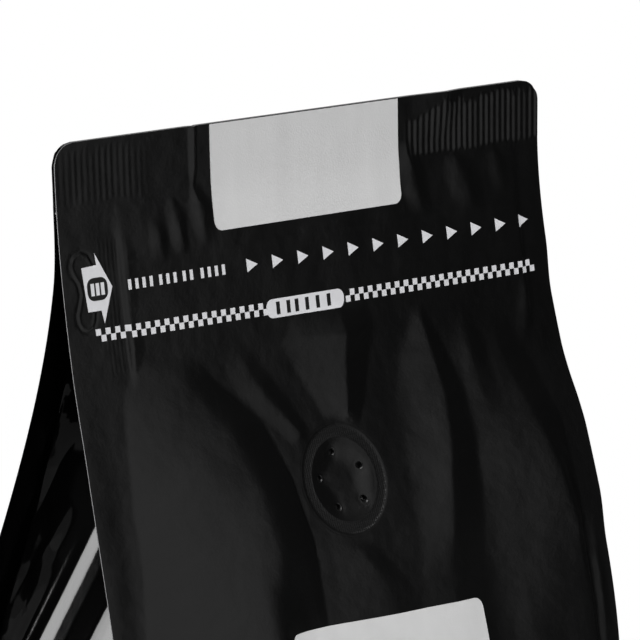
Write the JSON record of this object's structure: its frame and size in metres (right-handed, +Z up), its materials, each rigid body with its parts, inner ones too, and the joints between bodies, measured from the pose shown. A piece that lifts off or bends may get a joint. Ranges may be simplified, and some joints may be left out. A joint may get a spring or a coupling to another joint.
{
  "type": "coffee bag",
  "caption": "Filled flat-bottomed film pouch for roasted coffee, shut, with a crimped top seal, side gussets, side fins, a one-way valve and blank labels.",
  "frame": {"origin": "middle of the base, on the surface that the bag stands on", "axes": "+Z up along the bag's height, -Y out of the front panel with the valve, +X to the right seen from the front"},
  "size_m": [0.135, 0.0926, 0.25],
  "materials": {
    "black_film": "matte laminated film",
    "gusset_film": "glossy laminated film",
    "valve_film": "satin laminated film over a plastic valve",
    "label_paper": "matte coated label",
    "print_white": "matte white ink"
  },
  "bodies": {
    "root": {"bag": "black_film", "valve": "valve_film", "top_label": "label_paper", "front_label": "label_paper"}
  },
  "joints": []
}
